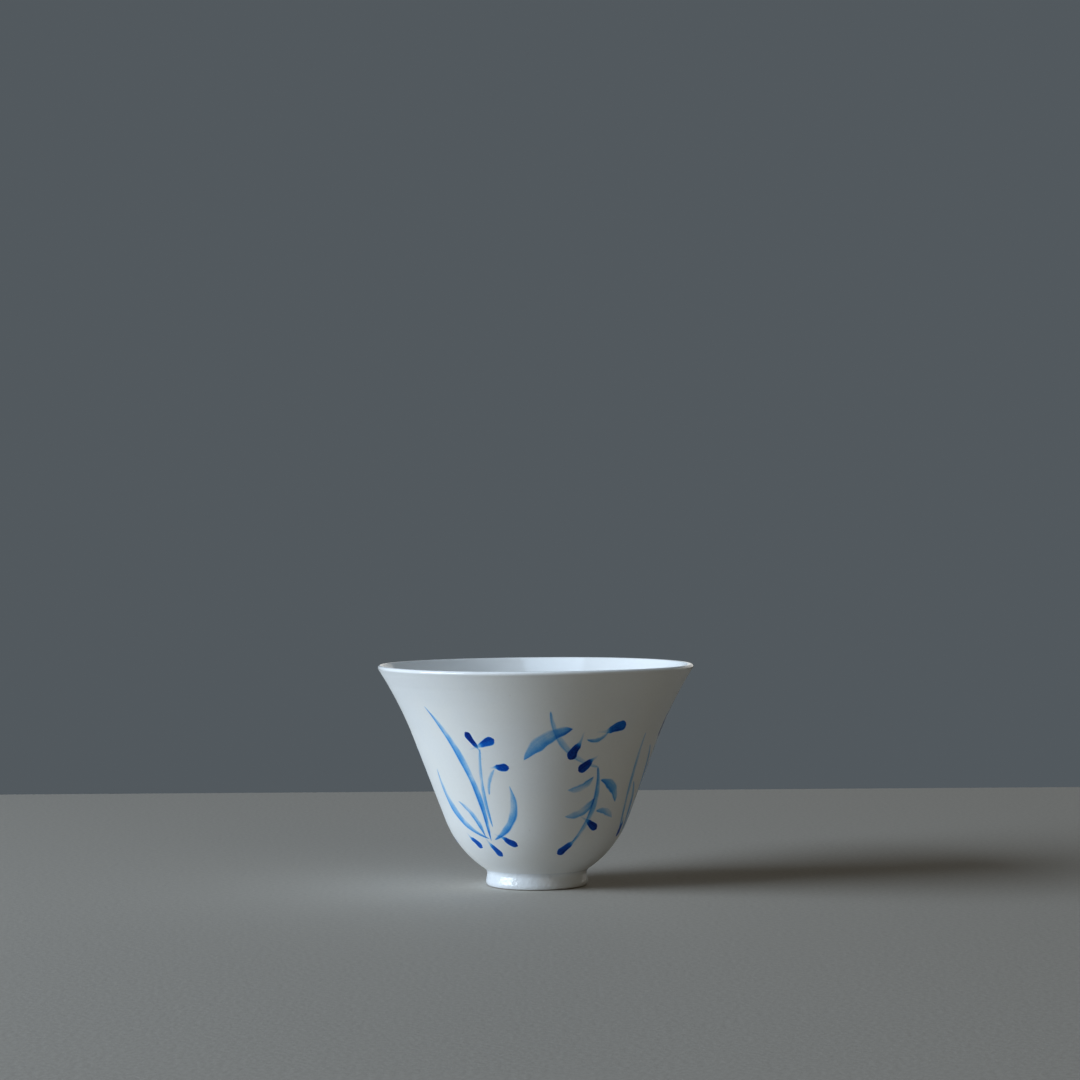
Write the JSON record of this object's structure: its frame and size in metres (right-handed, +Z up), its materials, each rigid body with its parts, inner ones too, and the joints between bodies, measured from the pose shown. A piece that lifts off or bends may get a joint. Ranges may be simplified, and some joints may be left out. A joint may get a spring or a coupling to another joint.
{
  "type": "teacup",
  "caption": "Small handleless bell-shaped porcelain teacup on a foot ring, satin outside, glossy inside, painted with sparse blue plant sprays.",
  "frame": {"origin": "centre of the foot ring's contact face, on the surface the cup stands on", "axes": "+Z up along the cup's axis of turning; -Y towards the painted front, +X to its right"},
  "size_m": [0.072, 0.072, 0.0503],
  "materials": {
    "biscuit": "unglazed fired porcelain, fine matt grain, faintly warm white",
    "satin_glaze": "satin translucent white glaze, slightly greenish white",
    "gloss_glaze": "glossy clear glaze over white porcelain",
    "foot_gloss": "glossy, slightly pooled bluish glaze with an orange-peel surface",
    "cobalt_dark": "dense cobalt blue dabs in the glaze, satin",
    "cobalt_wash": "thin cobalt wash in the glaze, darker where it pooled, satin",
    "cobalt_pale": "pale cobalt lines in the glaze, satin"
  },
  "bodies": {
    "root": {"bowl_body": "biscuit", "foot_ring": "biscuit", "outside_glaze": "satin_glaze", "inside_glaze": "gloss_glaze", "foot_glaze": "foot_gloss", "base_glaze": "gloss_glaze", "front_orchid_buds": "cobalt_dark", "front_orchid_leaves": "cobalt_wash", "front_orchid_stems": "cobalt_pale", "front_vine_buds": "cobalt_dark", "front_vine_leaves": "cobalt_wash", "front_vine_stems": "cobalt_pale", "right_reeds_buds": "cobalt_dark", "right_reeds_leaves": "cobalt_wash", "right_reeds_stems": "cobalt_pale", "back_orchid_buds": "cobalt_dark", "back_orchid_leaves": "cobalt_wash", "back_orchid_stems": "cobalt_pale", "back_vine_buds": "cobalt_dark", "back_vine_leaves": "cobalt_wash", "back_vine_stems": "cobalt_pale", "left_reeds_buds": "cobalt_dark", "left_reeds_leaves": "cobalt_wash", "left_reeds_stems": "cobalt_pale"}
  },
  "joints": []
}
